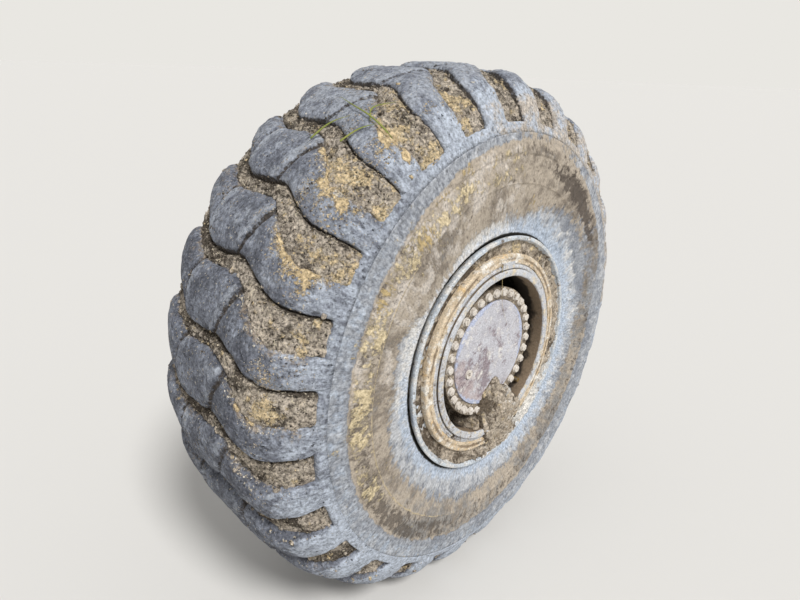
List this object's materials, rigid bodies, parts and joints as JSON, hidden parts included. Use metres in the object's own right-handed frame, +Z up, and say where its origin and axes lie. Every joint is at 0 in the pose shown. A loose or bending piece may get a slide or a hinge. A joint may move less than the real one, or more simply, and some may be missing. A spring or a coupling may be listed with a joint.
{
  "type": "wheel end of an articulated dump truck",
  "caption": "Earthmover tyre on a multi-piece rim, bolted to a planetary hub that turns on its braked spindle; the spindle's flange bolts to an axle casing.",
  "frame": {"origin": "centre of the spindle's mounting face, on the wheel's axis", "axes": "+Y along the wheel's axis, inboard towards the axle casing; +X forward on the vehicle; +Z up"},
  "size_m": [1.7594, 0.9105, 1.76],
  "materials": {
    "tyre_rubber": "worn rubber, scuffed and dusty",
    "rim_paint": "chalky grey paint under dried mud",
    "band_paint": "dusty, rust stained",
    "hub_paint": "flat, dusty",
    "bolt_steel": "dull, dusty",
    "axle_paint": "flat, muddy",
    "caliper_iron": "cast, lightly rusted",
    "disc_iron": "turned by the pads",
    "pad_friction": "matt",
    "pipe_steel": "matt black",
    "shaft_steel": "ground, oiled",
    "seal_rubber": "matt",
    "valve_brass": "dull, dusty"
  },
  "bodies": {
    "axle_end": {"spindle": "axle_paint", "brake_bracket": "axle_paint", "bracket_bolts": "bolt_steel", "caliper_front": "caliper_iron", "caliper_rear": "caliper_iron", "brake_pads": "pad_friction", "dirt_shield": "axle_paint", "brake_pipe": "pipe_steel"},
    "drive_shaft": {"half_shaft": "shaft_steel"},
    "wheel": {"tyre": "tyre_rubber", "rim_base": "rim_paint", "rim_disc": "rim_paint", "flange_outer": "rim_paint", "flange_inner": "rim_paint", "bead_seat_band": "band_paint", "lock_ring": "band_paint", "driver_key": "bolt_steel", "valve": "valve_brass", "hub": "hub_paint", "wheel_nuts": "bolt_steel", "planet_carrier": "hub_paint", "hub_cover": "hub_paint", "cover_bolts": "bolt_steel", "oil_plug": "bolt_steel", "brake_disc": "disc_iron", "disc_bolts": "bolt_steel", "seal_ring": "seal_rubber"}
  },
  "joints": [
    {"name": "wheel_spin", "type": "hinge", "parent": "axle_end", "child": "wheel", "pos_m": [0, -0.43, 0], "axis": [0, 1, 0], "continuous": true},
    {"name": "half_shaft_spin", "type": "hinge", "parent": "axle_end", "child": "drive_shaft", "pos_m": [0, 0, 0], "axis": [0, 1, 0], "continuous": true}
  ],
  "couplings": [
    {"joint": "half_shaft_spin", "follows": "wheel_spin", "ratio": 5.7143}
  ]
}
